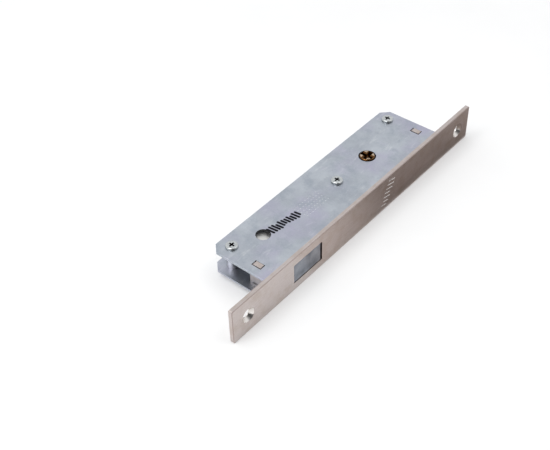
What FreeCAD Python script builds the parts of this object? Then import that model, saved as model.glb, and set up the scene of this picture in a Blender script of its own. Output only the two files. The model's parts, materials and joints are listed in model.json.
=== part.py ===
"""Narrow-stile mortise lock: a flat case behind a long faceplate, a deadbolt and a cross-key cylinder.

The frame: the origin is the centre of the faceplate's front face, +X is the bolt's throw out of the
faceplate, +Y runs along the faceplate from the bolt towards the keyhole, and +Z is normal to the case
plates. Millimetres throughout. The rest pose is the bolt drawn in and the key pins at the shear line.
"""

import FreeCAD, Part
import math
import os
import re

import Sketcher

# The driving sizes. Every name has an underscore in it, which tells it from a function or a unit.
SIZES = (
    ("faceplate_length", 210.0),
    ("faceplate_width", 22.0),
    ("faceplate_thick", 2.5),
    ("faceplate_corner", 0.8),
    ("faceplate_bevel", 0.4),
    ("screw_pitch", 187.5),
    ("screw_hole", 5.0),
    ("screw_sink", 9.0),
    ("case_depth", 41.0),
    ("case_length", 153.0),
    ("case_thick", 14.2),
    ("plate_thick", 1.2),
    ("corner_cut", 4.5),
    ("plate_bevel", 0.25),
    ("post_radius", 3.5),
    ("post_back", 33.2),
    ("post_near", -68.3),
    ("post_far", 68.8),
    ("middle_back", 22.5),
    ("middle_along", 6.0),
    ("rivet_radius", 2.25),
    ("rivet_proud", 0.4),
    ("rivet_lip", 0.6),
    ("thread_radius", 2.0),
    ("thread_depth", 8.0),
    ("thread_gap", 0.05),
    ("screw_gap", 0.15),
    ("screw_length", 7.0),
    ("head_radius", 3.4),
    ("head_height", 1.4),
    ("head_round", 0.8),
    ("head_recess", 1.75),
    ("recess_depth", 0.75),
    ("recess_width", 0.3),
    ("recess_taper", 0.5),
    ("foot_head", 2.2),
    ("foot_recess", 1.25),
    ("foot_thread", 1.25),
    ("foot_depth", 5.0),
    ("lug_along", 70.0),
    ("lug_thick", 3.0),
    ("lug_back", 18.5),
    ("tenon_centre", 13.75),
    ("tenon_width", 4.8),
    ("tenon_proud", 0.25),
    ("window_centre", 14.0),
    ("window_width", 6.1),
    ("window_thick", 3.7),
    ("bolt_throw", 15.0),
    ("bolt_near", -58.6),
    ("bolt_far", -37.3),
    ("bolt_thick", 11.4),
    ("bolt_nose", 18.3),
    ("bolt_length", 39.0),
    ("bolt_shoulder", 0.9),
    ("bolt_bevel", 0.3),
    ("slot_near", -58.9),
    ("slot_far", -36.0),
    ("slot_height", 12.3),
    ("sight_back", 26.4),
    ("sight_along", -51.6),
    ("sight_radius", 4.1),
    ("guide_thick", 3.0),
    ("guide_back", 38.0),
    ("guide_front", 4.0),
    ("guide_gap", 0.3),
    ("guide_bevel", 0.4),
    ("bar_low", -5.6),
    ("bar_thick", 2.4),
    ("bar_gap", 0.3),
    ("bar_back", 40.4),
    ("bar_front", 18.5),
    ("bar_shoulder", 2.5),
    ("bar_taper", 7.0),
    ("bar_wall", 2.2),
    ("bar_round", 1.2),
    ("follower_radius", 1.75),
    ("follower_back", 36.2),
    ("follower_along", -41.5),
    ("follower_depth", 5.0),
    ("cam_clearance", 0.12),
    ("stem_front", 7.1),
    ("stem_end", 41.0),
    ("web_near", -36.8),
    ("web_far", -28.0),
    ("guide_line", 11.0),
    ("pin_radius", 1.5),
    ("pin_neck", 1.0),
    ("pin_proud", 0.2),
    ("pin_slot", 1.6),
    ("slot_spare", 0.2),
    ("first_pin", -6.0),
    ("second_pin", 32.0),
    ("gear_module", 0.8),
    ("gear_teeth", 16.0),
    ("rack_teeth", 12.0),
    ("gear_backlash", 0.16),
    ("gear_lift", 0.1),
    ("tooth_crest", 0.68),
    ("tooth_root", 0.88),
    ("tooth_heel", 1.18),
    ("plug_back", 22.5),
    ("plug_along", 34.0),
    ("plug_radius", 4.3),
    ("plug_proud", 0.8),
    ("plug_chamfer", 0.55),
    ("running_gap", 0.05),
    ("keyhole_radius", 5.0),
    ("key_span", 3.6),
    ("key_slot", 2.2),
    ("entry_depth", 0.9),
    ("entry_flare", 0.65),
    ("ring_low", 5.0),
    ("ring_thick", 0.6),
    ("groove_radius", 3.95),
    ("ring_play", 0.05),
    ("ring_mouth", 1.2),
    ("ring_radius", 5.7),
    ("housing_half", 13.0),
    ("housing_low", -2.9),
    ("housing_top", 4.9),
    ("housing_foot", 4.0),
    ("station_low", -0.9),
    ("station_step", 3.8),
    ("chamber_radius", 1.35),
    ("chamber_floor", 2.3),
    ("stack_radius", 1.3),
    ("shear_gap", 0.05),
    ("key_body", 0.8),
    ("key_nose", 1.0),
    ("key_tip", 0.3),
    ("driver_length", 2.6),
    ("cap_length", 1.7),
    ("wire_radius", 0.14),
    ("coil_radius", 0.95),
    ("coil_turns", 4.0),
    ("dimple_radius", 0.45),
    ("dimple_depth", 0.12),
    ("dimple_step", 2.2),
)

# The four pin rows: the side of the plug each stands on, and its angle from +X in degrees.
ROWS = (("front", 0), ("far", 90), ("rear", 180), ("near", 270))
STATIONS = (0, 1)

doc = FreeCAD.newDocument("MortiseLock")
sheet = doc.addObject("Spreadsheet::Sheet", "Sizes")
for row, (size_name, size) in enumerate(SIZES, start=1):
    sheet.set(f"A{row}", size_name)
    sheet.set(f"B{row}", str(size))
    sheet.setAlias(f"B{row}", size_name)
doc.recompute()


# ---- Expressions, sketches and features ----------------------------------------------------------


def on_sheet(text):
    """The expression with the sheet's name before each size."""
    return re.sub(r"[a-z]+(?:_[a-z]+)+", lambda word: "Sizes." + word.group(), str(text))


def value(text):
    """What an expression comes to, as a plain number."""
    result = sheet.evalExpression(on_sheet(text))
    return float(getattr(result, "Value", result))


def bind(thing, **sizes):
    """Bind properties of an object to expressions: Length="bolt_length" and so on."""
    for name, text in sizes.items():
        thing.setExpression(name, on_sheet(text))


def place(thing, x="0", y="0", z="0"):
    """Bind where an object stands."""
    for axis, text in (("x", x), ("y", y), ("z", z)):
        thing.setExpression("Placement.Base." + axis, on_sheet(text))


def new_body(label):
    body = doc.addObject("PartDesign::Body", label)
    body.Label = label
    return body


def new_sketch(body, role, offset="0"):
    """A sketch on one of the body's own origin planes, moved along the plane's normal."""
    sketch = body.newObject("Sketcher::SketchObject", body.Name + "_sketch")
    plane = next(feature for feature in body.Origin.OriginFeatures if feature.Role == role)
    sketch.AttachmentSupport = [(plane, "")]
    sketch.MapMode = "FlatFace"
    sketch.setExpression("AttachmentOffset.Base.z", on_sheet(offset))
    return sketch


def pin_point(sketch, element, point, x, y):
    """Hold one point of a sketch at a place measured from the sketch's origin."""
    for kind, text in (("DistanceX", x), ("DistanceY", y)):
        number = sketch.addConstraint(Sketcher.Constraint(kind, -1, 1, element, point, value(text)))
        sketch.setExpression(f"Constraints[{number}]", on_sheet(text))


def add_polygon(sketch, corners):
    """A closed outline of straight lines through the corners, which are pairs of expressions."""
    first = sketch.GeometryCount
    count = len(corners)
    points = [FreeCAD.Vector(value(x), value(y), 0) for x, y in corners]
    for number in range(count):
        sketch.addGeometry(Part.LineSegment(points[number], points[(number + 1) % count]), False)
    for number, (x, y) in enumerate(corners):
        before = first + (number - 1) % count
        sketch.addConstraint(Sketcher.Constraint("Coincident", before, 2, first + number, 1))
        pin_point(sketch, first + number, 1, x, y)


def add_rectangle(sketch, x_low, x_high, y_low, y_high):
    add_polygon(sketch, ((x_low, y_low), (x_high, y_low), (x_high, y_high), (x_low, y_high)))


def add_circle(sketch, x, y, radius):
    centre = FreeCAD.Vector(value(x), value(y), 0)
    circle = sketch.addGeometry(Part.Circle(centre, FreeCAD.Vector(0, 0, 1), value(radius)), False)
    pin_point(sketch, circle, 3, x, y)
    number = sketch.addConstraint(Sketcher.Constraint("Radius", circle, value(radius)))
    sketch.setExpression(f"Constraints[{number}]", on_sheet(radius))


def add_slot(sketch, start, end, radius):
    """A slot with round ends between two centres."""
    a = FreeCAD.Vector(value(start[0]), value(start[1]), 0)
    b = FreeCAD.Vector(value(end[0]), value(end[1]), 0)
    r = value(radius)
    along = math.atan2(b.y - a.y, b.x - a.x)
    side = FreeCAD.Vector(-math.sin(along), math.cos(along), 0) * r
    up = FreeCAD.Vector(0, 0, 1)
    first = sketch.GeometryCount
    half = math.pi / 2
    for centre, begin in ((a, along + half), (b, along - half)):
        sketch.addGeometry(Part.ArcOfCircle(Part.Circle(centre, up, r), begin, begin + math.pi), False)
    sketch.addGeometry(Part.LineSegment(a + side, b + side), False)
    sketch.addGeometry(Part.LineSegment(a - side, b - side), False)
    joins = ((0, 1, 2, 1), (0, 2, 3, 1), (1, 2, 2, 2), (1, 1, 3, 2))
    for arc, arc_end, line, line_end in joins:
        touch = Sketcher.Constraint("Tangent", first + arc, arc_end, first + line, line_end)
        sketch.addConstraint(touch)
    pin_point(sketch, first, 3, *start)
    pin_point(sketch, first + 1, 3, *end)
    number = sketch.addConstraint(Sketcher.Constraint("Radius", first, r))
    sketch.setExpression(f"Constraints[{number}]", on_sheet(radius))


def pad(body, sketch, length):
    """Grow the body from a sketch along the sketch's normal."""
    feature = body.newObject("PartDesign::Pad", body.Name + "_pad")
    feature.Profile = sketch
    bind(feature, Length=length)
    doc.recompute()
    return feature


def pocket(body, sketch, depth):
    """Cut the body from a sketch against the sketch's normal, and make sure that something was cut."""
    before = body.Shape.Volume
    feature = body.newObject("PartDesign::Pocket", body.Name + "_pocket")
    feature.Profile = sketch
    bind(feature, Length=depth)
    doc.recompute()
    if body.Shape.Volume > before - 1e-6:
        raise RuntimeError(f"a pocket in {body.Label} cuts nothing")
    return feature


def edge_names(shape, wanted):
    """The names of the edges that a test picks by their bounding box."""
    edges = enumerate(shape.Edges, start=1)
    return [f"Edge{number}" for number, edge in edges if wanted(edge.BoundBox)]


def ease_edges(body, kind, size, wanted):
    """Chamfer or fillet the edges of the body's last feature that a test picks."""
    base = body.Tip
    feature = body.newObject("PartDesign::" + kind, body.Name + "_" + kind.lower())
    feature.Base = (base, edge_names(base.Shape, wanted))
    bind(feature, **{"Size" if kind == "Chamfer" else "Radius": size})
    doc.recompute()
    return feature


def at_level(low, high, level):
    """Whether a stretch from low to high lies flat at a level."""
    return abs(low - level) < 1e-4 and abs(high - level) < 1e-4


# ---- Part primitives -----------------------------------------------------------------------------


def box(name, x, y, z):
    """A box between two expressions on each axis."""
    solid = doc.addObject("Part::Box", name)
    for size, (low, high) in (("Length", x), ("Width", y), ("Height", z)):
        bind(solid, **{size: f"({high}) - ({low})"})
    place(solid, x[0], y[0], z[0])
    return solid


def rod(name, x, y, z, radius):
    """A round rod along Z, between two expressions."""
    solid = doc.addObject("Part::Cylinder", name)
    bind(solid, Radius=radius, Height=f"({z[1]}) - ({z[0]})")
    place(solid, x, y, z[0])
    return solid


def spoke(name, angle, start, end, level, radius, tip=None):
    """A round rod or cone that points away from the Z axis at an angle, from one radius to another."""
    solid = doc.addObject("Part::Cylinder" if tip is None else "Part::Cone", name)
    bind(solid, Height=f"({end}) - ({start})")
    if tip is None:
        bind(solid, Radius=radius)
    else:
        bind(solid, Radius1=tip, Radius2=radius)
    turn = FreeCAD.Rotation(FreeCAD.Vector(0, 0, 1), angle)
    lean = FreeCAD.Rotation(FreeCAD.Vector(0, 1, 0), 90)
    solid.Placement = FreeCAD.Placement(FreeCAD.Vector(0, 0, 0), turn * lean)
    cosine = round(math.cos(math.radians(angle)))
    sine = round(math.sin(math.radians(angle)))
    place(solid, f"({start}) * {cosine}", f"({start}) * {sine}", level)
    return solid


def fuse(name, solids):
    joined = doc.addObject("Part::MultiFuse", name)
    joined.Shapes = solids
    joined.Refine = True
    return joined


def cut(name, base, tools):
    """The base without the tools."""
    result = doc.addObject("Part::Cut", name)
    result.Base = base
    result.Tool = tools[0] if len(tools) == 1 else fuse(name + "_tools", tools)
    return result


def group(name, solids):
    """Separate solids that share one node."""
    compound = doc.addObject("Part::Compound", name)
    compound.Links = solids
    return compound


def label(thing, name):
    thing.Label = name
    return thing


# ---- The case ------------------------------------------------------------------------------------

INNER = "(case_thick / 2 - plate_thick)"
OUTER = "(case_thick / 2)"
POSTS = (
    ("near", "-post_back", "post_near"),
    ("middle", "-middle_back", "middle_along"),
    ("far", "-post_back", "post_far"),
)
HOUSING_FEET = (
    ("-plug_back - housing_half + housing_foot / 2", "plug_along - housing_half + housing_foot / 2"),
    ("-plug_back - housing_half + housing_foot / 2", "plug_along + housing_half - housing_foot / 2"),
)


def case_plate(name, top):
    """One flat plate of the case: the outline with two cut corners, and the holes both plates have."""
    body = new_body(name)
    outline = new_sketch(body, "XY_Plane", INNER if top else f"-{OUTER}")
    half = "case_length / 2"
    corners = (
        ("-faceplate_thick", f"-{half}"),
        ("-faceplate_thick", half),
        ("-case_depth + corner_cut", half),
        ("-case_depth", f"{half} - corner_cut"),
        ("-case_depth", f"-{half} + corner_cut"),
        ("-case_depth + corner_cut", f"-{half}"),
    )
    add_polygon(outline, corners)
    pad(body, outline, "plate_thick")
    level = value(OUTER) if top else -value(OUTER)
    front = -value("faceplate_thick")

    def outer_but_front(edge):
        return at_level(edge.ZMin, edge.ZMax, level) and not at_level(edge.XMin, edge.XMax, front)

    ease_edges(body, "Fillet", "plate_bevel", outer_but_front)
    windows = new_sketch(body, "XY_Plane", OUTER if top else f"-{INNER}")
    for side in ("-", ""):
        middle = f"{side}lug_along"
        add_rectangle(
            windows,
            "-window_centre - window_width / 2",
            "-window_centre + window_width / 2",
            f"{middle} - window_thick / 2",
            f"{middle} + window_thick / 2",
        )
    add_circle(windows, "-plug_back", "plug_along", "keyhole_radius")
    pocket(body, windows, "plate_thick")
    return body


def case_top_plate():
    """The plate over the works: screw holes, a sight hole over the bolt's tail, a field of dimples."""
    body = case_plate("case_top_plate", top=True)
    holes = new_sketch(body, "XY_Plane", OUTER)
    for _, x, y in POSTS:
        add_circle(holes, x, y, "thread_radius + screw_gap")
    add_circle(holes, "-sight_back", "sight_along", "sight_radius")
    pocket(body, holes, "plate_thick")
    dimple = new_sketch(body, "XY_Plane", OUTER)
    corner = ("-middle_back - 1.75 * dimple_step", "middle_along - 14.5 * dimple_step")
    add_circle(dimple, *corner, "dimple_radius")
    first = pocket(body, dimple, "dimple_depth")
    repeat = body.newObject("PartDesign::MultiTransform", "case_top_plate_dimples")
    across = body.newObject("PartDesign::LinearPattern", "dimples_across")
    across.Direction = (dimple, ["H_Axis"])
    bind(across, Length="4 * dimple_step")
    across.Occurrences = 5
    along = body.newObject("PartDesign::LinearPattern", "dimples_along")
    along.Direction = (dimple, ["V_Axis"])
    bind(along, Length="8 * dimple_step")
    along.Occurrences = 9
    repeat.Originals = [first]
    repeat.Transformations = [across, along]
    body.Tip = repeat
    doc.recompute()
    return body


def case_bottom_plate():
    """The plate under the works: holes for the rivets, the guide pins and the housing's screws."""
    body = case_plate("case_bottom_plate", top=False)
    holes = new_sketch(body, "XY_Plane", f"-{INNER}")
    for _, x, y in POSTS:
        add_circle(holes, x, y, "rivet_radius")
    for y in ("first_pin", "second_pin"):
        add_circle(holes, "-guide_line", y, "pin_neck")
    for x, y in HOUSING_FEET:
        add_circle(holes, x, y, "foot_thread + 2 * thread_gap")
    pocket(body, holes, "plate_thick")
    return body


def faceplate():
    """The long front plate: a slot for the bolt and a countersunk screw hole near each end."""
    body = new_body("faceplate")
    outline = new_sketch(body, "YZ_Plane", "-faceplate_thick")
    half = "faceplate_length / 2"
    add_rectangle(outline, f"-{half}", half, "-faceplate_width / 2", "faceplate_width / 2")
    pad(body, outline, "faceplate_thick")
    ease_edges(
        body,
        "Fillet",
        "faceplate_corner",
        lambda edge: edge.YLength < 1e-4 and edge.ZLength < 1e-4,
    )
    ease_edges(body, "Fillet", "faceplate_bevel", lambda edge: at_level(edge.XMin, edge.XMax, 0))
    slot = new_sketch(body, "YZ_Plane")
    add_rectangle(slot, "slot_near", "slot_far", "-slot_height / 2", "slot_height / 2")
    pocket(body, slot, "faceplate_thick")
    centres = new_sketch(body, "YZ_Plane")
    for side in ("-", ""):
        add_circle(centres, f"{side}screw_pitch / 2", "0", "screw_hole / 2")
    doc.recompute()
    before = body.Shape.Volume
    holes = body.newObject("PartDesign::Hole", "faceplate_screw_holes")
    holes.Profile = centres
    holes.DepthType = "ThroughAll"
    holes.HoleCutType = "Countersink"
    bind(holes, Diameter="screw_hole", HoleCutDiameter="screw_sink")
    holes.HoleCutCountersinkAngle = 90
    doc.recompute()
    if body.Shape.Volume > before - 1e-6:
        raise RuntimeError("the faceplate's screw holes cut nothing")
    return body


def faceplate_lug(name, side):
    """A block welded behind the faceplate, with a tenon through each case plate."""
    y = (f"{side}lug_along - lug_thick / 2", f"{side}lug_along + lug_thick / 2")
    block = box(name + "_block", ("-lug_back", "-faceplate_thick"), y, (f"-{INNER}", INNER))
    tenon = box(
        name + "_tenon",
        ("-tenon_centre - tenon_width / 2", "-tenon_centre + tenon_width / 2"),
        y,
        (f"-{OUTER} - tenon_proud", f"{OUTER} + tenon_proud"),
    )
    return label(fuse(name + "_solid", [block, tenon]), name)


def spacer_post(name, x, y):
    """A round post that is riveted to the bottom plate and takes a case screw at its top."""
    column = rod(name + "_column", x, y, (f"-{INNER}", INNER), "post_radius")
    neck = rod(name + "_neck", x, y, (f"-{OUTER}", f"-{INNER}"), "rivet_radius")
    ends = (f"-{OUTER} - rivet_proud", f"-{OUTER}")
    rivet = rod(name + "_rivet", x, y, ends, "rivet_radius + rivet_lip")
    hole = rod(name + "_hole", x, y, (f"{INNER} - thread_depth", INNER), "thread_radius")
    return label(cut(name + "_solid", fuse(name + "_fused", [column, neck, rivet]), [hole]), name)


def cross_recess(name, x, y, crown, depth, reach, up):
    """The two arms of a cross-shaped driver recess, which narrow from the crown to the bottom."""
    taper = value("recess_taper")
    width = reach * value("recess_width")
    lie = FreeCAD.Rotation(FreeCAD.Vector(1, 0, 0), -90 if up else 90)
    arms = []
    for number, (half_x, half_y) in enumerate(((reach, width), (width, reach))):
        arm = doc.addObject("Part::Wedge", f"{name}_arm{number}")
        arm.Xmin, arm.Xmax = -half_x, half_x
        arm.Zmin, arm.Zmax = -half_y, half_y
        arm.X2min, arm.X2max = -half_x * taper, half_x * taper
        arm.Z2min, arm.Z2max = -half_y * taper, half_y * taper
        bind(arm, Ymax=depth)
        arm.Placement = FreeCAD.Placement(FreeCAD.Vector(0, 0, 0), lie)
        place(arm, x, y, crown)
        arms.append(arm)
    return arms


def pan_screw(name, x, y, up, head, shank, length, recess):
    """A pan-head screw with a cross recess, on the outside of a case plate, its head up or down."""
    side = "" if up else "-"
    seat = f"{side}{OUTER}"
    crown = f"{seat} + head_height" if up else f"{seat} - head_height"
    foot = f"{seat} - {length}" if up else f"{seat} + {length}"
    blank_head = rod(name + "_head", x, y, (seat, crown) if up else (crown, seat), head)
    stem = rod(name + "_stem", x, y, (foot, seat) if up else (seat, foot), shank)
    doc.recompute()
    rim = value(crown)
    edges = edge_names(blank_head.Shape, lambda edge: at_level(edge.ZMin, edge.ZMax, rim))
    rounding = value(f"head_round * {head} / head_radius")
    rounded = doc.addObject("Part::Fillet", name + "_round")
    rounded.Base = blank_head
    rounded.Edges = [(int(edge[4:]), rounding, rounding) for edge in edges]
    depth = "head_height * recess_depth"
    arms = cross_recess(name + "_recess", x, y, crown, depth, value(recess), up)
    return cut(name, fuse(name + "_blank", [rounded, stem]), arms)


def case_screws():
    """Three pan-head screws that hold the top plate down on the posts."""
    sizes = ("head_radius", "thread_radius - thread_gap", "screw_length", "head_recess")
    screws = [pan_screw(f"case_screw_{name}", x, y, True, *sizes) for name, x, y in POSTS]
    return label(group("case_screw_group", screws), "case_screws")


def housing_screws():
    """Two small screws that hold the cylinder housing's feet, from below the bottom plate."""
    sizes = ("foot_head", "foot_thread - thread_gap", "foot_depth", "foot_recess")
    screws = []
    for number, (x, y) in enumerate(HOUSING_FEET):
        screws.append(pan_screw(f"housing_screw_{number}", x, y, False, *sizes))
    return label(group("housing_screw_group", screws), "housing_screws")


# ---- The bolt and its drive bar ------------------------------------------------------------------

BAR_TOP = "(bar_low + bar_thick)"
PITCH_RADIUS = "(gear_module * gear_teeth / 2)"
BAR_TRAVEL = f"({PITCH_RADIUS} * pi)"
PITCH_LINE = f"(-plug_back + {PITCH_RADIUS})"


def deadbolt():
    """The bolt: a nose as thick as the case allows, and a thinner tail with the drive bar below it."""
    body = new_body("deadbolt")
    outline = new_sketch(body, "XY_Plane", "-bolt_thick / 2")
    add_rectangle(outline, "-bolt_length", "0", "bolt_near", "bolt_far")
    pad(body, outline, "bolt_thick")
    ease_edges(body, "Chamfer", "bolt_bevel", lambda edge: at_level(edge.XMin, edge.XMax, 0))
    under = new_sketch(body, "XY_Plane", f"{BAR_TOP} + bar_gap")
    add_rectangle(under, "-bolt_length - 1", "-bolt_nose", "bolt_near - 1", "bolt_far + 1")
    pocket(body, under, "bolt_thick")
    over = new_sketch(body, "XY_Plane", "bolt_thick / 2")
    add_rectangle(over, "-bolt_length - 1", "-bolt_nose", "bolt_near - 1", "bolt_far + 1")
    pocket(body, over, "bolt_shoulder")
    bore = new_sketch(body, "XY_Plane", f"{BAR_TOP} + bar_gap + follower_depth")
    add_circle(bore, "-follower_back", "follower_along", "follower_radius")
    pocket(body, bore, "follower_depth")
    return body


def bolt_follower_pin():
    """The pin under the bolt's tail that runs in the bar's slanted slot."""
    ends = ("bar_low + gear_lift", f"{BAR_TOP} + bar_gap + follower_depth")
    pin = rod("follower_rod", "-follower_back", "follower_along", ends, "follower_radius")
    return label(pin, "bolt_follower_pin")


def bolt_guide(name, near):
    """A rail on the inner side of the top plate, beside the bolt's tail."""
    if near:
        y = ("bolt_near - guide_gap - guide_thick", "bolt_near - guide_gap")
    else:
        y = ("bolt_far + guide_gap", "bolt_far + guide_gap + guide_thick")
    rail = box(name + "_rail", ("-guide_back", "-guide_front"), y, (f"{BAR_TOP} + bar_gap", INNER))
    doc.recompute()
    low = value(f"{BAR_TOP} + bar_gap")
    eased = doc.addObject("Part::Chamfer", name + "_eased")
    eased.Base = rail
    edges = edge_names(rail.Shape, lambda edge: at_level(edge.ZMin, edge.ZMax, low))
    bevel = value("guide_bevel")
    eased.Edges = [(int(edge[4:]), bevel, bevel) for edge in edges]
    return label(eased, name)


def drive_bar():
    """The sliding bar: a head with the slanted slot that moves the bolt, and a stem with a rack."""
    body = new_body("drive_bar")
    outline = new_sketch(body, "XY_Plane", "bar_low")
    head_end = f"follower_along - {BAR_TRAVEL} - follower_radius - bar_wall"
    corners = (
        ("-bar_back", "web_far"),
        ("-bar_back", "follower_along - bar_shoulder"),
        ("-bar_front - bar_taper", head_end),
        ("-bar_front", head_end),
        ("-bar_front", "web_near"),
        ("-stem_front", "web_near"),
        ("-stem_front", "stem_end"),
        (f"{PITCH_LINE} + tooth_root", "stem_end"),
        (f"{PITCH_LINE} + tooth_root", "web_far"),
    )
    add_polygon(outline, corners)
    pad(body, outline, "bar_thick")
    slots = new_sketch(body, "XY_Plane", BAR_TOP)
    clear = "follower_radius + cam_clearance"
    start = ("-follower_back", "follower_along")
    end = ("-follower_back + bolt_throw", f"follower_along - {BAR_TRAVEL}")
    add_slot(slots, start, end, clear)
    for pin in ("first_pin", "second_pin"):
        add_slot(
            slots,
            ("-guide_line", f"{pin} + slot_spare"),
            ("-guide_line", f"{pin} - {BAR_TRAVEL} - slot_spare"),
            "pin_slot",
        )
    pocket(body, slots, "bar_thick")
    front = value("-bar_front") - 1

    def upright_behind_the_front(edge):
        upright = edge.ZLength > 1 and edge.XLength < 1e-4 and edge.YLength < 1e-4
        return upright and edge.XMin < front

    ease_edges(body, "Fillet", "bar_round", upright_behind_the_front)
    tooth = new_sketch(body, "XY_Plane", "bar_low")
    slope = "tan(20)"
    middle = "(plug_along - 9 * gear_module * pi)"
    half = "(gear_module * pi / 4 - gear_backlash / 2)"
    add_polygon(
        tooth,
        (
            (f"{PITCH_LINE} + tooth_heel", f"{middle} - {half} - tooth_heel * {slope}"),
            (f"{PITCH_LINE} + tooth_heel", f"{middle} + {half} + tooth_heel * {slope}"),
            (f"{PITCH_LINE} - tooth_crest", f"{middle} + {half} - tooth_crest * {slope}"),
            (f"{PITCH_LINE} - tooth_crest", f"{middle} - {half} + tooth_crest * {slope}"),
        ),
    )
    first = pad(body, tooth, "bar_thick")
    rack = body.newObject("PartDesign::LinearPattern", "drive_bar_rack")
    rack.Originals = [first]
    rack.Direction = (tooth, ["V_Axis"])
    bind(rack, Length="(rack_teeth - 1) * gear_module * pi", Occurrences="rack_teeth")
    body.Tip = rack
    doc.recompute()
    return body


def bar_guide_pins():
    """Two pins that are riveted in the bottom plate and stand in the bar's straight slots."""
    pins = []
    for name in ("first_pin", "second_pin"):
        spot = ("-guide_line", name)
        shank = rod(name + "_shank", *spot, (f"-{INNER}", f"{BAR_TOP} + pin_proud"), "pin_radius")
        neck = rod(name + "_neck", *spot, (f"-{OUTER}", f"-{INNER}"), "pin_neck")
        rivet = rod(name + "_rivet", *spot, (f"-{OUTER} - rivet_proud", f"-{OUTER}"), "pin_radius")
        pins.append(fuse(name + "_solid", [shank, neck, rivet]))
    return label(group("guide_pin_group", pins), "bar_guide_pins")


def drive_pinion():
    """The pinion on the plug: round flanks stand in for involutes of a 20 degree pressure angle."""
    body = new_body("drive_pinion")
    blank = new_sketch(body, "XY_Plane", "bar_low + gear_lift")
    add_circle(blank, "0", "0", f"{PITCH_RADIUS} + gear_module")
    add_circle(blank, "0", "0", "plug_radius")
    pad(body, blank, "bar_thick - gear_lift")
    gap = new_sketch(body, "XY_Plane", BAR_TOP)
    pitch = value(PITCH_RADIUS)
    flank = pitch * math.sin(math.radians(20))
    base = pitch * math.cos(math.radians(20))
    half_gap = math.degrees((value("gear_module * pi / 4") + value("gear_backlash / 2")) / pitch)
    root = pitch - value("tooth_root")
    rim = pitch + 1.3 * value("gear_module")
    ends = []
    for radius in (root, rim):
        reach = math.acos((base**2 + radius**2 - flank**2) / (2 * base * radius))
        turn = math.radians(half_gap + 20) - reach
        ends.append(FreeCAD.Vector(radius * math.cos(turn), radius * math.sin(turn), 0))
    sides = []
    for sign in (1, -1):
        low, high = (FreeCAD.Vector(end.x, sign * end.y, 0) for end in ends)
        turn = math.radians(sign * (half_gap + 20))
        centre = FreeCAD.Vector(base * math.cos(turn), base * math.sin(turn), 0)
        middle = (low + high) * 0.5 - centre
        middle = centre + middle.normalize() * flank
        sides.append((low, middle, high))
    (low_a, middle_a, high_a), (low_b, middle_b, high_b) = sides
    gap.addGeometry(Part.Arc(low_a, middle_a, high_a), False)
    gap.addGeometry(Part.LineSegment(high_a, high_b), False)
    gap.addGeometry(Part.Arc(high_b, middle_b, low_b), False)
    gap.addGeometry(Part.LineSegment(low_b, low_a), False)
    first = pocket(body, gap, "bar_thick")
    teeth = body.newObject("PartDesign::PolarPattern", "drive_pinion_teeth")
    teeth.Originals = [first]
    teeth.Axis = (gap, ["N_Axis"])
    teeth.Angle = 360
    bind(teeth, Occurrences="gear_teeth")
    body.Tip = teeth
    place(body, "-plug_back", "plug_along")
    doc.recompute()
    return body


# ---- The cylinder --------------------------------------------------------------------------------


def station(number):
    """How high one ring of four pin chambers stands."""
    return f"(station_low + {number} * station_step)"


def on_plug_axis(thing, name, angle=0):
    """Stand a piece that was made round the origin on the plug's axis."""
    turn = FreeCAD.Rotation(FreeCAD.Vector(0, 0, 1), angle)
    thing.Placement = FreeCAD.Placement(FreeCAD.Vector(0, 0, 0), turn)
    place(thing, "-plug_back", "plug_along")
    return label(thing, name)


def cylinder_housing():
    """The block round the plug: its bore, eight pin chambers, two feet and pads under the top plate."""
    half = "housing_half"
    block = box("housing_block", (f"-{half}", half), (f"-{half}", half), ("housing_low", "housing_top"))
    solids = [block]
    edges = {"low": (f"-{half}", f"-{half} + housing_foot"), "high": (f"{half} - housing_foot", half)}
    for side_x, span_x in edges.items():
        for side_y, span_y in edges.items():
            low = f"-{INNER}" if side_x == "low" else "housing_top"
            solids.append(box(f"housing_leg_{side_x}_{side_y}", span_x, span_y, (low, INNER)))
    tools = [rod("housing_bore", "0", "0", ("housing_low", "housing_top"), "plug_radius + running_gap")]
    for row_name, angle in ROWS:
        for number in STATIONS:
            name = f"housing_chamber_{row_name}_{number}"
            tools.append(spoke(name, angle, "plug_radius", half, station(number), "chamber_radius"))
    for number, (x, y) in enumerate(HOUSING_FEET):
        spot = (f"({x}) + plug_back", f"({y}) - plug_along")
        depth = (f"-{INNER}", f"-{INNER} + foot_depth")
        tools.append(rod(f"housing_thread_{number}", *spot, depth, "foot_thread"))
    solid = cut("housing_solid", fuse("housing_fused", solids), tools)
    return on_plug_axis(solid, "cylinder_housing")


def keyway_entry(name, up):
    """The flare at one end of the cross keyway, which leads the key in."""
    face = value(f"{OUTER} + plug_proud")
    flare = value("entry_flare")
    arms = []
    half_x, half_y = value("key_span"), value("key_slot / 2")
    for number in (0, 1):
        arm = doc.addObject("Part::Wedge", f"{name}_{number}")
        arm.Xmin, arm.Xmax = -half_x - flare / 2, half_x + flare / 2
        arm.Zmin, arm.Zmax = -half_y - flare, half_y + flare
        arm.X2min, arm.X2max = -half_x, half_x
        arm.Z2min, arm.Z2max = -half_y, half_y
        bind(arm, Ymax="entry_depth")
        lie = FreeCAD.Rotation(FreeCAD.Vector(1, 0, 0), -90 if up else 90)
        turn = FreeCAD.Rotation(FreeCAD.Vector(0, 0, 1), 90 * number)
        arm.Placement = FreeCAD.Placement(FreeCAD.Vector(0, 0, face if up else -face), turn * lie)
        arms.append(arm)
    return arms


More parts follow.
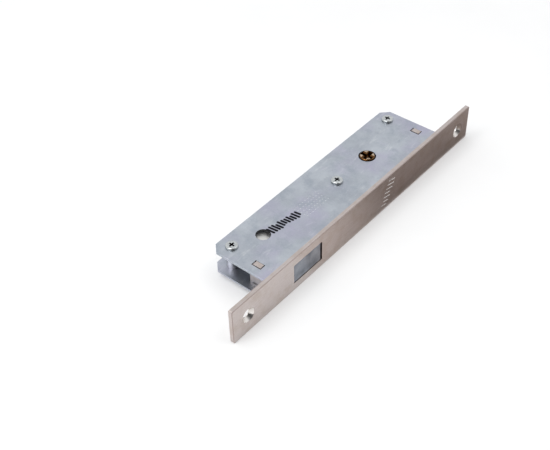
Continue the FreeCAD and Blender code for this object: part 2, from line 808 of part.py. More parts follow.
def cylinder_plug():
    """The turning plug: a cross keyway right through it, pin chambers and a groove for its ring."""
    ends = (f"-{OUTER} - plug_proud", f"{OUTER} + plug_proud")
    plain_bar = rod("plug_bar", "0", "0", ends, "plug_radius")
    doc.recompute()
    face = value(ends[1])
    rims = edge_names(plain_bar.Shape, lambda edge: at_level(abs(edge.ZMin), abs(edge.ZMax), face))
    bevel = value("plug_chamfer")
    round_bar = doc.addObject("Part::Chamfer", "plug_bevelled")
    round_bar.Base = plain_bar
    round_bar.Edges = [(int(edge[4:]), bevel, bevel) for edge in rims]
    height = ("ring_low - ring_play", "ring_low + ring_thick + ring_play")
    groove = cut(
        "plug_groove",
        rod("plug_groove_outer", "0", "0", height, "plug_radius + 1"),
        [rod("plug_groove_inner", "0", "0", height, "groove_radius")],
    )
    span = ("-key_span", "key_span")
    width = ("-key_slot / 2", "key_slot / 2")
    tools = [groove, box("keyway_across", span, width, ends), box("keyway_along", width, span, ends)]
    for side, up in (("top", True), ("bottom", False)):
        tools += keyway_entry(f"keyway_{side}", up)
    for row_name, angle in ROWS:
        for number in STATIONS:
            name = f"plug_chamber_{row_name}_{number}"
            reach = ("chamber_floor", "plug_radius + 1")
            tools.append(spoke(name, angle, *reach, station(number), "chamber_radius"))
    return on_plug_axis(cut("plug_solid", round_bar, tools), "cylinder_plug")


def plug_retaining_ring():
    """The open ring in the plug's groove that holds the plug down in its housing."""
    height = ("ring_low", "ring_low + ring_thick")
    outer = rod("ring_outer", "0", "0", height, "ring_radius")
    inner = rod("ring_inner", "0", "0", height, "groove_radius + 0.03")
    mouth = box("ring_opening", ("0", "ring_radius"), ("-ring_mouth", "ring_mouth"), height)
    return on_plug_axis(cut("ring_solid", outer, [inner, mouth]), "plug_retaining_ring", 45)


def pin_row(kind, row_name, angle, make):
    """The pieces of one kind in one row of chambers, one at each station, made along +X and turned."""
    pieces = [make(f"{kind}_{row_name}_{number}", station(number)) for number in STATIONS]
    return on_plug_axis(group(f"{kind}_{row_name}_group", pieces), f"{kind}_{row_name}", angle)


def key_pin(name, level):
    """A pin in the plug, with a cone that rides on the key."""
    outer = "(sqrt(plug_radius ^ 2 - stack_radius ^ 2) - shear_gap)"
    body = spoke(name + "_body", 0, f"{outer} - key_body", outer, level, "stack_radius")
    nose = spoke(
        name + "_nose",
        0,
        f"{outer} - key_body - key_nose",
        f"{outer} - key_body",
        level,
        "stack_radius",
        tip="key_tip",
    )
    return fuse(name, [body, nose])


def driver_pin(name, level):
    """The pin in the housing that the spring presses against the key pin."""
    start = "(plug_radius + running_gap + shear_gap)"
    return spoke(name, 0, start, f"{start} + driver_length", level, "stack_radius")


def pin_spring(name, level):
    """A coil spring between a driver pin and its chamber's cap."""
    start = "(plug_radius + running_gap + shear_gap + driver_length)"
    end = "(housing_half - cap_length)"
    coil = doc.addObject("Part::Helix", name + "_coil")
    free = f"({end} - {start} - 2 * wire_radius)"
    bind(coil, Pitch=f"{free} / coil_turns", Height=free, Radius="coil_radius - wire_radius")
    wire = doc.addObject("Part::Circle", name + "_wire")
    bind(wire, Radius="wire_radius")
    turn = FreeCAD.Rotation(FreeCAD.Vector(1, 0, 0), 90)
    wire.Placement = FreeCAD.Placement(FreeCAD.Vector(0, 0, 0), turn)
    place(wire, "coil_radius - wire_radius")
    spring = doc.addObject("Part::Sweep", name)
    spring.Sections = [wire]
    doc.recompute()
    spring.Spine = (coil, [f"Edge{number}" for number in range(1, len(coil.Shape.Edges) + 1)])
    spring.Solid = True
    spring.Frenet = False
    lean = FreeCAD.Rotation(FreeCAD.Vector(0, 1, 0), 90)
    spring.Placement = FreeCAD.Placement(FreeCAD.Vector(0, 0, 0), lean)
    place(spring, f"{start} + wire_radius", "0", level)
    return spring


def chamber_caps():
    """Eight slugs that are pressed into the chambers' mouths behind the springs."""
    caps = []
    for row_name, angle in ROWS:
        for number in STATIONS:
            name = f"cap_{row_name}_{number}"
            ends = ("housing_half - cap_length", "housing_half")
            caps.append(spoke(name, angle, *ends, station(number), "chamber_radius"))
    return on_plug_axis(group("cap_group", caps), "chamber_caps")


# ---- Build, check and write ----------------------------------------------------------------------

parts = [
    case_top_plate(),
    case_bottom_plate(),
    faceplate(),
    faceplate_lug("faceplate_lug_near", "-"),
    faceplate_lug("faceplate_lug_far", ""),
    case_screws(),
    housing_screws(),
    deadbolt(),
    bolt_follower_pin(),
    bolt_guide("bolt_guide_near", near=True),
    bolt_guide("bolt_guide_far", near=False),
    drive_bar(),
    bar_guide_pins(),
    drive_pinion(),
    cylinder_housing(),
    cylinder_plug(),
    plug_retaining_ring(),
    chamber_caps(),
]
for post_name, post_x, post_y in POSTS:
    parts.append(spacer_post(f"spacer_post_{post_name}", post_x, post_y))
for row_name, row_angle in ROWS:
    parts.append(pin_row("key_pins", row_name, row_angle, key_pin))
    parts.append(pin_row("driver_pins", row_name, row_angle, driver_pin))
    parts.append(pin_row("pin_springs", row_name, row_angle, pin_spring))
doc.recompute()

failed = [thing.Label for thing in doc.Objects if {"Invalid", "Error"} & set(thing.State)]
failed += [part.Label for part in parts if part.Shape.isNull() or not part.Shape.isValid()]
if failed:
    raise RuntimeError(f"these did not come out whole: {failed}")

os.makedirs("parts", exist_ok=True)
for part in parts:
    part.Shape.exportStep(f"parts/{part.Label}.step")
print(f"{len(parts)} parts written")
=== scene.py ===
"""The looks of the mortise lock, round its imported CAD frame. Metres, in the frame of the CAD model."""

import json
import math
import random

import bmesh
import bpy
from mathutils import Matrix, Vector


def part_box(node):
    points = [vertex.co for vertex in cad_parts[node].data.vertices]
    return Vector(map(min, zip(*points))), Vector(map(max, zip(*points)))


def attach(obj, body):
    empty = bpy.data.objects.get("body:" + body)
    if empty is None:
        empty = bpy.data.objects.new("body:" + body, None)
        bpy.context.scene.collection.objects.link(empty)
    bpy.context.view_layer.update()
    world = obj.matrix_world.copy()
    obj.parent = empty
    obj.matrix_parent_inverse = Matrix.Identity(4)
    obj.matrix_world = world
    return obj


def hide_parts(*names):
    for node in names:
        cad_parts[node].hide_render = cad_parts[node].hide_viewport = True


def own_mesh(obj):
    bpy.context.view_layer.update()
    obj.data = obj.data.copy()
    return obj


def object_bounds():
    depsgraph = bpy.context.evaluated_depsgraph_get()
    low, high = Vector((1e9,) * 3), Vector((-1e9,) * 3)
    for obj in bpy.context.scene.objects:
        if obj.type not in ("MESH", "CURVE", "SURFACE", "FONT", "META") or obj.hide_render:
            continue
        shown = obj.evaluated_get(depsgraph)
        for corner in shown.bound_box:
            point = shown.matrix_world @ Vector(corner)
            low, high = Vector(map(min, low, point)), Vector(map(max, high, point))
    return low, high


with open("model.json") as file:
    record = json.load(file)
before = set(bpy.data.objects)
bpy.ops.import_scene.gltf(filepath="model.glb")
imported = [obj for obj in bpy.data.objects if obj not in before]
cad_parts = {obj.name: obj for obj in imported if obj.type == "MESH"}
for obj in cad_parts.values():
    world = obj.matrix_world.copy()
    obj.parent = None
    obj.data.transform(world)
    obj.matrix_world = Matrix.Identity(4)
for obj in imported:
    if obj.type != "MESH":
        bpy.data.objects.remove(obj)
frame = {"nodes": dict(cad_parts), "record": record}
cad_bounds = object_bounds()

MM = 0.001

# ---- Places taken from the frame -----------------------------------------------------------------

plate_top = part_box("case_top_plate")[1].z
front_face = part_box("faceplate")[1].x
screw_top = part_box("case_screws")[1].z
plug_low, plug_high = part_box("cylinder_plug")
plug_axis = (plug_low + plug_high) / 2

# Places on the lock, in millimetres, for finishes that differ from spot to spot.
CASE_SCREWS = ((-33.2, -68.3), (-22.5, 6.0), (-33.2, 68.8))
CROSS_REACH = 1.85
SKIRT_HEIGHT = 0.55
PIT_FIELD = (-22.0, -17.0)
PIT_REACH = 13.0
PIT_DEPTH = 0.12
SIGHT_HOLE = (-26.4, -51.6)
SIGHT_HOLE_RADIUS = 4.1
BEVEL_DEPTH = 0.42
FACE_SKIN = 0.04
CONE_START = 0.15
SCREW_REACH = 93.75
COUNTERSINK = 4.75
PLUG_REACH = 6.0

# ---- Node helpers --------------------------------------------------------------------------------


class Shader:
    """One material's node tree, with short calls for the nodes that the finishes share."""

    def __init__(self, name):
        self.material = bpy.data.materials.new(name)
        self.material.use_nodes = True
        self.tree = self.material.node_tree
        self.tree.nodes.clear()
        self.output = self.node("ShaderNodeOutputMaterial")
        self.surface = self.node("ShaderNodeBsdfPrincipled")
        self.link(self.surface.outputs["BSDF"], self.output.inputs["Surface"])
        place = self.node("ShaderNodeTexCoord")
        scaled = self.node("ShaderNodeVectorMath", operation="SCALE")
        scaled.inputs["Scale"].default_value = 1.0 / MM
        self.link(place.outputs["Object"], scaled.inputs[0])
        self.millimetres = scaled.outputs[0]

    def node(self, kind, **settings):
        made = self.tree.nodes.new(kind)
        for name, value in settings.items():
            setattr(made, name, value)
        return made

    def link(self, source, target):
        self.tree.links.new(source, target)

    def noise(self, per_mm, stretch=(1, 1, 1), detail=3.0, roughness=0.55, shift=0.0):
        """Noise whose features are about 1 / per_mm millimetres across, before the stretch along each axis."""
        mapping = self.node("ShaderNodeMapping")
        mapping.inputs["Scale"].default_value = stretch
        mapping.inputs["Location"].default_value = (shift, shift * 0.7, shift * 1.3)
        self.link(self.millimetres, mapping.inputs["Vector"])
        texture = self.node("ShaderNodeTexNoise")
        texture.inputs["Scale"].default_value = per_mm
        texture.inputs["Detail"].default_value = detail
        texture.inputs["Roughness"].default_value = roughness
        self.link(mapping.outputs[0], texture.inputs["Vector"])
        return texture.outputs["Fac"]

    def spread(self, value, low, high, to_low=0.0, to_high=1.0):
        """A value's stretch from low to high, remade to run from to_low to to_high."""
        ranged = self.node("ShaderNodeMapRange")
        for name, number in (("From Min", low), ("From Max", high), ("To Min", to_low), ("To Max", to_high)):
            ranged.inputs[name].default_value = number
        self.link(value, ranged.inputs["Value"])
        return ranged.outputs["Result"]

    def mix(self, factor, first, second, blend="MIX"):
        """Two colours, or a colour and a socket, mixed by a factor."""
        mixed = self.node("ShaderNodeMix", data_type="RGBA", blend_type=blend)
        for slot, source in ((0, factor), (6, first), (7, second)):
            if isinstance(source, bpy.types.NodeSocket):
                self.link(source, mixed.inputs[slot])
            elif slot == 0:
                mixed.inputs[slot].default_value = source
            else:
                mixed.inputs[slot].default_value = (*source, 1.0)
        return mixed.outputs[2]

    def axis(self, name):
        """One coordinate, X, Y or Z, in millimetres."""
        parts = self.node("ShaderNodeSeparateXYZ")
        self.link(self.millimetres, parts.inputs[0])
        return parts.outputs[name]

    def calculate(self, operation, *sources):
        """Arithmetic on sockets and constants."""
        sum_up = self.node("ShaderNodeMath", operation=operation)
        for slot, source in enumerate(sources):
            if isinstance(source, bpy.types.NodeSocket):
                self.link(source, sum_up.inputs[slot])
            else:
                sum_up.inputs[slot].default_value = source
        return sum_up.outputs[0]

    def from_line(self, first, second, centre):
        """Distance in millimetres from a line along the third axis, through a centre on the other two."""
        offsets = [
            self.calculate("SUBTRACT", self.axis(name), place)
            for name, place in zip((first, second), centre)
        ]
        squares = [self.calculate("MULTIPLY", offset, offset) for offset in offsets]
        return self.calculate("SQRT", self.calculate("ADD", *squares))

    def bump(self, height, depth_mm, strength=1.0):
        """Relief of a given depth in millimetres, from a height between 0 and 1."""
        relief = self.node("ShaderNodeBump")
        relief.inputs["Strength"].default_value = strength
        relief.inputs["Distance"].default_value = depth_mm * MM
        self.link(height, relief.inputs["Height"])
        self.link(relief.outputs["Normal"], self.surface.inputs["Normal"])

    def brush(self, along, amount):
        """Gloss drawn out across the brushing, which runs along an axis."""
        shape = self.node("ShaderNodeNewGeometry")
        across = self.node("ShaderNodeVectorMath", operation="CROSS_PRODUCT")
        across.inputs[1].default_value = along
        self.link(shape.outputs["Normal"], across.inputs[0])
        self.link(across.outputs[0], self.surface.inputs["Tangent"])
        self.surface.inputs["Anisotropic"].default_value = amount

    def finish(self, colour, roughness, metallic=1.0):
        """Joins the colour and the roughness, each a socket or a constant, to the surface."""
        for name, source in (("Base Color", colour), ("Roughness", roughness)):
            if isinstance(source, bpy.types.NodeSocket):
                self.link(source, self.surface.inputs[name])
            elif name == "Base Color":
                self.surface.inputs[name].default_value = (*source, 1.0)
            else:
                self.surface.inputs[name].default_value = source
        self.surface.inputs["Metallic"].default_value = metallic
        return self.material


# ---- Finishes ------------------------------------------------------------------------------------


def zinc_sheet():
    """Blue-passivated zinc on rolled sheet: cloudy, with violet patches, rub marks and bright pits."""
    m = Shader("zinc_sheet")
    clouds = m.spread(m.noise(0.06, detail=5.0, roughness=0.62), 0.36, 0.64)
    colour = m.mix(clouds, (0.375, 0.405, 0.455), (0.505, 0.54, 0.59))
    violet = m.spread(m.noise(0.04, detail=3.0, shift=40.0), 0.46, 0.66, 0.0, 0.75)
    colour = m.mix(violet, colour, (0.45, 0.43, 0.56))
    stain = m.spread(m.noise(0.11, detail=5.0, roughness=0.65, shift=63.0), 0.50, 0.68, 0.0, 0.75)
    colour = m.mix(stain, colour, (0.33, 0.37, 0.43))
    grain = m.spread(m.noise(1.1, detail=5.0, roughness=0.75, shift=5.0), 0.32, 0.68)
    colour = m.mix(m.spread(grain, 0.0, 1.0, 0.0, 0.22), colour, (0.66, 0.69, 0.72))
    rubbed = m.noise(0.7, stretch=(0.5, 0.12, 1.0), detail=4.0, roughness=0.7, shift=17.0)
    colour = m.mix(m.spread(rubbed, 0.58, 0.74, 0.0, 0.4), colour, (0.72, 0.74, 0.76))
    pit_level = plate_top / MM - PIT_DEPTH / 2
    # Known fault: this has no lower limit, so a disc of the bottom plate is pale as well.
    below = m.calculate("LESS_THAN", m.axis("Z"), pit_level)
    inside = m.calculate("LESS_THAN", m.from_line("X", "Y", PIT_FIELD), PIT_REACH)
    pit = m.calculate("MULTIPLY", m.calculate("MULTIPLY", below, inside), 0.55)
    colour = m.mix(pit, colour, (0.80, 0.82, 0.84))
    rolling = m.noise(1.0, stretch=(2.2, 0.06, 2.2), detail=4.0, shift=7.0)
    m.bump(m.calculate("ADD", rolling, grain), 0.012, 0.7)
    rough = m.spread(m.noise(0.09, detail=3.0, shift=11.0), 0.3, 0.7, 0.34, 0.48)
    return m.finish(colour, rough)


def brushed_nickel():
    """Warm nickel plate brushed along Y, with a painted dark reflection on the bevel and paler, smoother
    countersinks whose paleness is partly a painted highlight.
    """
    m = Shader("brushed_nickel")
    long_streaks = m.noise(1.0, stretch=(3.0, 0.04, 3.0), detail=5.0, roughness=0.65)
    short_streaks = m.noise(1.0, stretch=(6.0, 0.5, 6.0), detail=4.0, shift=21.0)
    colour = m.mix(m.spread(long_streaks, 0.3, 0.7), (0.445, 0.385, 0.365), (0.615, 0.55, 0.53))
    colour = m.mix(m.spread(short_streaks, 0.35, 0.75, 0.0, 0.5), colour, (0.72, 0.66, 0.64))
    patch = m.spread(m.noise(0.16, detail=5.0, roughness=0.65, shift=33.0), 0.46, 0.66, 0.0, 0.5)
    colour = m.mix(patch, colour, (0.46, 0.375, 0.32))
    # Painted reflection: the bevel round the front face is darkened to stand in for a dark reflection.
    bevel = m.calculate("GREATER_THAN", m.axis("X"), -BEVEL_DEPTH)
    bevel = m.calculate("MULTIPLY", bevel, m.calculate("LESS_THAN", m.axis("X"), -FACE_SKIN))
    colour = m.mix(m.calculate("MULTIPLY", bevel, 0.6), colour, (0.24, 0.17, 0.15))
    # Known fault: this has no rear limit, so the faceplate's back has a pale ring round each hole.
    sunk = m.calculate("LESS_THAN", m.axis("X"), -CONE_START)
    from_near = m.from_line("Y", "Z", (-SCREW_REACH, 0.0))
    from_far = m.from_line("Y", "Z", (SCREW_REACH, 0.0))
    in_hole = m.calculate("LESS_THAN", m.calculate("MINIMUM", from_near, from_far), COUNTERSINK)
    machined_and_painted_highlight = m.calculate("MULTIPLY", in_hole, sunk)
    # Part painted highlight: the countersinks are paler and smoother where cut, and their paleness also stands
    # in for a bright reflection.
    colour = m.mix(machined_and_painted_highlight, colour, (0.78, 0.74, 0.71))
    m.bump(short_streaks, 0.012, 0.8)
    m.brush((0.12, 1.0, 0.08), 0.5)
    rough = m.spread(long_streaks, 0.3, 0.7, 0.30, 0.42)
    rough = m.calculate("SUBTRACT", rough, m.calculate("MULTIPLY", machined_and_painted_highlight, 0.18))
    return m.finish(colour, rough)


def painted_recess_shade(m, colour, level, dark, centres, reach):
    """Darkens a colour below a level within reach of any of some lines along Z: painted shade in a recess."""
    nearest = m.from_line("X", "Y", centres[0])
    for centre in centres[1:]:
        nearest = m.calculate("MINIMUM", nearest, m.from_line("X", "Y", centre))
    below = m.spread(m.axis("Z"), level, level - 0.25)
    inside = m.spread(nearest, reach, reach - 0.15)
    return m.mix(m.calculate("MULTIPLY", below, inside), colour, dark)


def bolt_steel():
    """Plated steel, with painted light on the bolt's sides and tail and a painted dark reflection on its
    ground end face.
    """
    m = Shader("bolt_steel")
    lines = m.noise(1.0, stretch=(0.4, 1.5, 6.0), detail=4.0, roughness=0.6)
    cloud = m.noise(0.12, detail=3.0, shift=3.0)
    # Painted light and reflection: a paler, lit copy of the steel on the sides and tail, and a darker copy on
    # the end face for a dark reflection.
    painted_dark_end_face = m.mix(m.spread(cloud, 0.35, 0.65), (0.165, 0.18, 0.21), (0.31, 0.33, 0.37))
    painted_light_sides = m.mix(m.spread(lines, 0.3, 0.7), (0.66, 0.65, 0.63), (0.80, 0.79, 0.77))
    colour = m.mix(m.spread(m.axis("X"), -1.0, -0.4), painted_light_sides, painted_dark_end_face)
    m.bump(lines, 0.008, 0.5)
    return m.finish(colour, m.spread(lines, 0.3, 0.7, 0.34, 0.46))


def screw_zinc():
    """Zinc on the screws, with painted shade down in the case screws' crosses and round the foot of their
    heads.
    """
    m = Shader("screw_zinc")
    cloud = m.noise(1.2, detail=4.0, roughness=0.6)
    colour = m.mix(m.spread(cloud, 0.3, 0.7), (0.44, 0.46, 0.47), (0.66, 0.68, 0.68))
    # Painted shade down in the case screws' crosses.
    colour = painted_recess_shade(m, colour, screw_top / MM, (0.05, 0.054, 0.058), CASE_SCREWS, CROSS_REACH)
    plate_level = plate_top / MM
    # Painted shade: a dark ring round the foot of each screw head, just above the plate.
    painted_foot_shade = m.spread(m.axis("Z"), plate_level + SKIRT_HEIGHT, plate_level)
    above = m.calculate("GREATER_THAN", m.axis("Z"), plate_level - 0.01)
    colour = m.mix(m.calculate("MULTIPLY", painted_foot_shade, above), colour, (0.10, 0.105, 0.11))
    m.bump(cloud, 0.01, 0.5)
    return m.finish(colour, m.spread(cloud, 0.3, 0.7, 0.18, 0.28))


def plug_brass():
    """Nickel-dulled brass on the plug's upper face, with painted shade below it in the keyway, which leaves
    the lower face dark too.
    """
    m = Shader("plug_brass")
    tarnish = m.noise(0.9, detail=4.0, shift=9.0)
    colour = m.mix(m.spread(tarnish, 0.35, 0.68), (0.66, 0.53, 0.40), (0.36, 0.25, 0.16))
    centre = (plug_axis.x / MM, plug_axis.y / MM)
    # Painted shade in the keyway and everywhere below the plug's upper face.
    colour = painted_recess_shade(m, colour, plug_high.z / MM, (0.16, 0.075, 0.025), (centre,), PLUG_REACH)
    m.bump(tarnish, 0.01, 0.4)
    return m.finish(colour, m.spread(tarnish, 0.3, 0.7, 0.22, 0.36))


def ground_steel(name, dark, light, roughness, stretch=(0.4, 4.0, 4.0)):
    """Ground or drawn steel with fine lines across the stretch's long axes."""
    m = Shader(name)
    lines = m.noise(1.0, stretch=stretch, detail=4.0, roughness=0.6)
    cloud = m.noise(0.2, detail=2.0, shift=3.0)
    colour = m.mix(m.spread(lines, 0.3, 0.7), dark, light)
    colour = m.mix(m.spread(cloud, 0.35, 0.7, 0.0, 0.3), colour, dark)
    m.bump(lines, 0.008, 0.5)
    rough = m.spread(cloud, 0.3, 0.7, roughness - 0.05, roughness + 0.06)
    return m.finish(colour, rough)


def turned_brass(name, dark, light, roughness):
    """Turned brass, a little tarnished in patches."""
    m = Shader(name)
    rings = m.noise(2.5, detail=3.0)
    tarnish = m.noise(0.45, detail=4.0, shift=9.0)
    colour = m.mix(m.spread(tarnish, 0.35, 0.68), light, dark)
    m.bump(rings, 0.006, 0.4)
    rough = m.spread(tarnish, 0.3, 0.7, roughness - 0.06, roughness + 0.08)
    return m.finish(colour, rough)


def cast_zinc():
    """Die-cast zinc alloy: dull grey with a fine pebbled skin."""
    m = Shader("cast_zinc")
    skin = m.noise(2.0, detail=5.0, roughness=0.7)
    cloud = m.noise(0.15, detail=3.0)
    colour = m.mix(m.spread(cloud, 0.3, 0.7), (0.33, 0.34, 0.36), (0.45, 0.46, 0.48))
    m.bump(skin, 0.03, 0.5)
    return m.finish(colour, m.spread(skin, 0.3, 0.7, 0.48, 0.62))


def stamp_ink():
    """Dried black stamping ink, patchy."""
    m = Shader("stamp_ink")
    patchy = m.noise(1.3, detail=4.0, roughness=0.7)
    colour = m.mix(m.spread(patchy, 0.5, 0.85), (0.003, 0.003, 0.006), (0.035, 0.038, 0.055))
    m.surface.inputs["Specular IOR Level"].default_value = 0.15
    return m.finish(colour, m.spread(patchy, 0.3, 0.7, 0.6, 0.85), metallic=0.0)


def bare_edge_and_shade():
    """Bare steel where the plate was punched after plating, darker than the plating and made near-black as
    painted shade.
    """
    m = Shader("bare_edge_and_shade")
    speck = m.noise(1.8, detail=4.0, roughness=0.7)
    colour = m.mix(m.spread(speck, 0.3, 0.7), (0.012, 0.012, 0.014), (0.045, 0.042, 0.040))
    return m.finish(colour, m.spread(speck, 0.3, 0.7, 0.55, 0.75), metallic=0.0)


def etched_metal():
    """Bare bright metal where the brushed skin is etched through."""
    m = Shader("etched_metal")
    speck = m.noise(2.5, detail=3.0)
    colour = m.mix(m.spread(speck, 0.3, 0.7), (0.93, 0.90, 0.88), (0.99, 0.98, 0.97))
    return m.finish(colour, m.spread(speck, 0.3, 0.7, 0.6, 0.8), metallic=0.0)


def paper_floor():
    """Plain pale paper, faintly lit of itself so that the shadow on it stays light."""
    m = Shader("paper_floor")
    fibre = m.noise(0.02, detail=2.0)
    colour = m.mix(m.spread(fibre, 0.3, 0.7), (0.76, 0.76, 0.76), (0.78, 0.78, 0.78))
    m.surface.inputs["Emission Color"].default_value = (1.0, 1.0, 1.0, 1.0)
    m.surface.inputs["Emission Strength"].default_value = 0.18
    return m.finish(colour, 0.9, metallic=0.0)


def black_card():
    """Dark card that pales towards both of its ends."""
    m = Shader("black_card")
    fibre = m.noise(0.05, detail=2.0)
    colour = m.mix(m.spread(fibre, 0.3, 0.7), (0.25, 0.207, 0.188), (0.29, 0.242, 0.218))
    faded = m.spread(m.axis("Y"), 34.0, -30.0)
    colour = m.mix(faded, colour, (0.85, 0.80, 0.77))
    far_end = m.spread(m.axis("Y"), 90.0, 200.0, 0.0, 0.25)
    colour = m.mix(far_end, colour, (0.85, 0.80, 0.77))
    return m.finish(colour, 0.9, metallic=0.0)


FINISHES = {
    "zinc_sheet": zinc_sheet(),
    "brushed_nickel": brushed_nickel(),
    "post_steel": ground_steel("post_steel", (0.48, 0.48, 0.49), (0.64, 0.64, 0.65), 0.15, (4.0, 4.0, 0.4)),
    "screw_zinc": screw_zinc(),
    "guide_steel": ground_steel("guide_steel", (0.36, 0.36, 0.38), (0.50, 0.50, 0.52), 0.35),
    "bolt_steel": bolt_steel(),
    "bar_steel": ground_steel("bar_steel", (0.45, 0.47, 0.50), (0.58, 0.60, 0.63), 0.32, (4.0, 0.4, 4.0)),
    "spring_wire": ground_steel("spring_wire", (0.45, 0.45, 0.47), (0.62, 0.62, 0.64), 0.25),
    "ring_steel": ground_steel("ring_steel", (0.03, 0.03, 0.03), (0.07, 0.07, 0.07), 0.4),
    "pin_steel": ground_steel("pin_steel", (0.45, 0.45, 0.47), (0.60, 0.60, 0.62), 0.25),
    "plug_brass": plug_brass(),
    "pin_brass": turned_brass("pin_brass", (0.45, 0.32, 0.15), (0.70, 0.53, 0.26), 0.28),
    "cap_brass": turned_brass("cap_brass", (0.42, 0.30, 0.15), (0.66, 0.50, 0.25), 0.35),
    "cast_zinc": cast_zinc(),
}

slot_of = {part["node"]: part["material_slot"] for part in frame["record"]["subparts"]}
for node, thing in frame["nodes"].items():
    for material_slot in thing.material_slots:
        material_slot.material = FINISHES[slot_of[node]]

# ---- Pieces made here ----------------------------------------------------------------------------


def add_object(name, shape, material):
    """An object in the scene from a finished bmesh, which is freed."""
    mesh = bpy.data.meshes.new(name)
    shape.to_mesh(mesh)
    shape.free()
    mesh.materials.append(material)
    made = bpy.data.objects.new(name, mesh)
    bpy.context.scene.collection.objects.link(made)
    return made


def flat_sheet(name, corners, level, material):
    """One flat face at a level, on the corners given."""
    shape = bmesh.new()
    shape.faces.new([shape.verts.new((x, y, level)) for x, y in corners])
    return add_object(name, shape, material)


# ---- Springs of the pin rows, copied onto the case -------------------------------------------------

PIN_ROWS = {"front": (1, 0, 0), "far": (0, 1, 0), "rear": (-1, 0, 0), "near": (0, -1, 0)}


def coil_springs(row):
    """The coil springs of one row of pins, as a copy of their mesh on the case in place of the imported part.
    """
    node = "pin_springs_" + row
    coils = bpy.data.objects.new("coils_" + row, frame["nodes"][node].data.copy())
    bpy.context.scene.collection.objects.link(coils)
    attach(coils, "case")
    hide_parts(node)
    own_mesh(coils)


for row, outward in PIN_ROWS.items():
    coil_springs(row)

# ---- Plain marks in place of lettering -----------------------------------------------------------


def bar_row(name, count, along, origin, step, size, lean, normal, material, body, uneven=0.0):
    """A row of flat leaning bars on a face: plain strokes with rounded ends, a hair above the surface."""
    draw = random.Random(5)
    shape = bmesh.new()
    length, width, thick = size
    end_steps = 6
    side = Vector(normal).cross(Vector(along)).normalized()
    lie = Vector(along).normalized()
    for number in range(count):
        centre = Vector(origin) + lie * step * number + side * length * uneven * draw.uniform(-0.25, 0.25)
        turn = Matrix.Rotation(lean, 3, Vector(normal))
        stroke = length * (1 + uneven * draw.uniform(-0.5, 0.5))
        long_way = turn @ side
        short_way = turn @ lie
        rim = []
        for end in (1, -1):
            for tick in range(end_steps + 1):
                angle = math.pi * tick / end_steps
                out = end * ((stroke - width) / 2 + width / 2 * math.sin(angle))
                across = end * width / 2 * math.cos(angle)
                rim.append(centre + long_way * out + short_way * across)
        low = [shape.verts.new(point) for point in rim]
        high = [shape.verts.new(point + Vector(normal) * thick) for point in rim]
        shape.faces.new(list(reversed(low)))
        shape.faces.new(high)
        for first in range(len(rim)):
            after = (first + 1) % len(rim)
            shape.faces.new((low[first], low[after], high[after], high[first]))
    bmesh.ops.recalc_face_normals(shape, faces=shape.faces)
    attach(add_object(name, shape, material), body)


def hole_lining_and_shade(name, centre, radius, top, depth, body):
    """The sheared wall of a punched round hole, near-black as painted shade in the hole: a thin closed ring
    that lines it.
    """
    shape = bmesh.new()
    steps = 64
    corners = ((0.005, 0.01), (0.03, 0.01), (0.03, depth), (0.005, depth))
    rings = []
    for number in range(steps):
        angle = 2 * math.pi * number / steps
        out = Vector((math.cos(angle), math.sin(angle), 0))
        ring = []
        for inset, drop in corners:
            place = Vector((*centre, 0)) + out * (radius - inset)
            ring.append(shape.verts.new(place * MM + Vector((0, 0, top - drop * MM))))
        rings.append(ring)
    for number in range(steps):
        before, after = rings[number - 1], rings[number]
        for side in range(4):
            other = (side + 1) % 4
            shape.faces.new((before[side], before[other], after[other], after[side]))
    bmesh.ops.recalc_face_normals(shape, faces=shape.faces)
    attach(add_object(name, shape, bare_edge_and_shade()), body)


bar_row(
    "ink_bars",
    count=11,
    along=(0.12, 1, 0),
    origin=(-25.0 * MM, -47.2 * MM, plate_top),
    step=1.95 * MM,
    size=(5.2 * MM, 1.4 * MM, 0.02 * MM),
    lean=math.radians(14),
    normal=(0, 0, 1),
    material=stamp_ink(),
    body="case",
    uneven=0.4,
)
bar_row(
    "etched_bars",
    count=7,
    along=(0, -0.45, -1),
    origin=(front_face, 26.0 * MM, 7.0 * MM),
    step=2.6 * MM,
    size=(5.4 * MM, 0.36 * MM, 0.015 * MM),
    lean=math.radians(12),
    normal=(1, 0, 0),
    material=etched_metal(),
    body="case",
    uneven=0.3,
)
# Painted shade: a near-black lining in the sight hole, partly the bare sheared edge.
hole_lining_and_shade("sight_hole_wall", SIGHT_HOLE, SIGHT_HOLE_RADIUS, top=plate_top, depth=1.15, body="case")

# ---- Camera, floor and light ---------------------------------------------------------------------

CAMERA_PLACE = Vector((219.8, -323.5, 350.6)) * MM
CAMERA_TARGET = Vector((-31.4, -36.4, 0.0)) * MM
CAMERA_ROLL = math.radians(-1.84)
CAMERA_LENS = 63.8

camera_data = bpy.data.cameras.new("camera")
camera_data.lens = CAMERA_LENS
camera_data.sensor_width = 36.0
camera_data.clip_start = 0.01
camera = bpy.data.objects.new("camera", camera_data)
aim = (CAMERA_TARGET - CAMERA_PLACE).to_track_quat("-Z", "Y")
roll = Matrix.Rotation(CAMERA_ROLL, 4, "Z")
camera.matrix_world = Matrix.Translation(CAMERA_PLACE) @ aim.to_matrix().to_4x4() @ roll
bpy.context.scene.collection.objects.link(camera)
bpy.context.scene.camera = camera

lowest = cad_bounds[0].z

FLOOR_REACH = 3.0
FLOOR_GAP = 0.02 * MM
FLOOR_CORNERS = (
    (-FLOOR_REACH, -FLOOR_REACH),
    (FLOOR_REACH, -FLOOR_REACH),
    (FLOOR_REACH, FLOOR_REACH),
    (-FLOOR_REACH, FLOOR_REACH),
)
flat_sheet("floor", FLOOR_CORNERS, lowest - FLOOR_GAP, paper_floor())

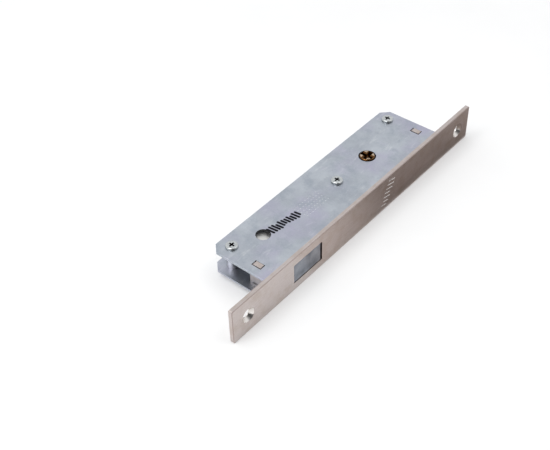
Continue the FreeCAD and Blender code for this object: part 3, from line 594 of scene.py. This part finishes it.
# A dark card by the far half of the faceplate, seen only in reflections, as a studio flag is.
CARD_LIFT = 0.3 * MM
CARD_CORNERS = ((0.5, -42), (90, -10), (90, 320), (0.5, 320))
card_outline = [(x * MM, y * MM) for x, y in CARD_CORNERS]
card = flat_sheet("dark_card", card_outline, lowest + CARD_LIFT, black_card())
for kind in ("camera", "diffuse", "transmission", "shadow", "volume_scatter"):
    setattr(card, "visible_" + kind, False)

# The light from all round is dimmer on this side, where the camera stands.
DIM_SIDE = Vector((0.62, -0.70, 0.36)).normalized()
BRIGHT_SKY = 0.92
DIM_SKY = 0.08


def area_light(name, place, target, size, power):
    """A square soft box that points at a target."""
    data = bpy.data.lights.new(name, "AREA")
    data.shape = "RECTANGLE"
    data.size, data.size_y = size
    data.energy = power
    light = bpy.data.objects.new(name, data)
    light.location = place
    light.rotation_mode = "QUATERNION"
    light.rotation_quaternion = (Vector(target) - Vector(place)).to_track_quat("-Z", "Y")
    bpy.context.scene.collection.objects.link(light)


def studio_world():
    """Soft light from all round, dimmer from the dim side."""
    world = bpy.data.worlds.new("world")
    world.use_nodes = True
    tree = world.node_tree
    background = tree.nodes["Background"]
    place = tree.nodes.new("ShaderNodeTexCoord")
    facing = tree.nodes.new("ShaderNodeVectorMath")
    facing.operation = "DOT_PRODUCT"
    facing.inputs[1].default_value = DIM_SIDE
    ranged = tree.nodes.new("ShaderNodeMapRange")
    ranged.interpolation_type = "SMOOTHSTEP"
    for name, number in (("From Min", 0.1), ("From Max", 0.9), ("To Min", BRIGHT_SKY), ("To Max", DIM_SKY)):
        ranged.inputs[name].default_value = number
    tree.links.new(place.outputs["Generated"], facing.inputs[0])
    tree.links.new(facing.outputs["Value"], ranged.inputs["Value"])
    tree.links.new(ranged.outputs["Result"], background.inputs["Strength"])
    background.inputs["Color"].default_value = (0.98, 0.99, 1.0, 1.0)
    bpy.context.scene.world = world


area_light("key", (-0.10, -0.70, 1.1), (0, 0, 0), (0.9, 0.9), 9.5)
area_light("top", (0.55, 0.35, 1.3), (0.1, 0, 0), (0.9, 0.9), 3.0)
studio_world()
bpy.context.scene.view_settings.view_transform = "Standard"
